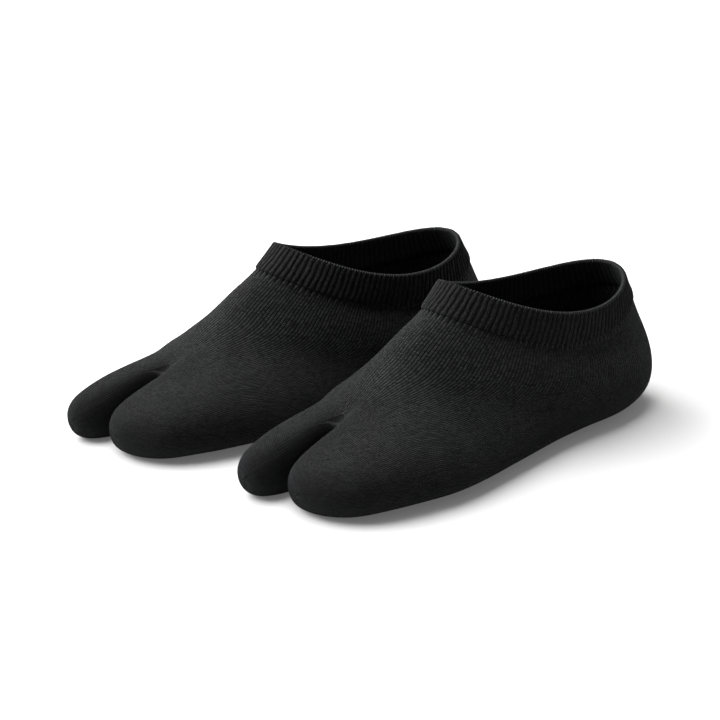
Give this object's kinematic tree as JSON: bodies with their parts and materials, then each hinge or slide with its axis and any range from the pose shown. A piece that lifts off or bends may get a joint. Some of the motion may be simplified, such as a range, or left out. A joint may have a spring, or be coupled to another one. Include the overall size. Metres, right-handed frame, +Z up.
{
  "type": "pair of tabi socks",
  "caption": "Pair of low-cut split-toe socks in plain knit with ribbed cuffs, filled out and standing side by side.",
  "frame": {"origin": "on the surface that the socks stand on, under the middle of the pair's box", "axes": "+Z up, toes towards -Y, heels towards +Y, the near sock at +X and the far sock at -X"},
  "size_m": [0.1996, 0.2648, 0.0773],
  "materials": {
    "plain_knit": "matte cotton jersey knit, black",
    "rib_knit": "matte one-by-one rib knit, black"
  },
  "bodies": {
    "root": {"near_sock_foot": "plain_knit", "near_sock_cuff": "rib_knit", "far_sock_foot": "plain_knit", "far_sock_cuff": "rib_knit"}
  },
  "joints": []
}
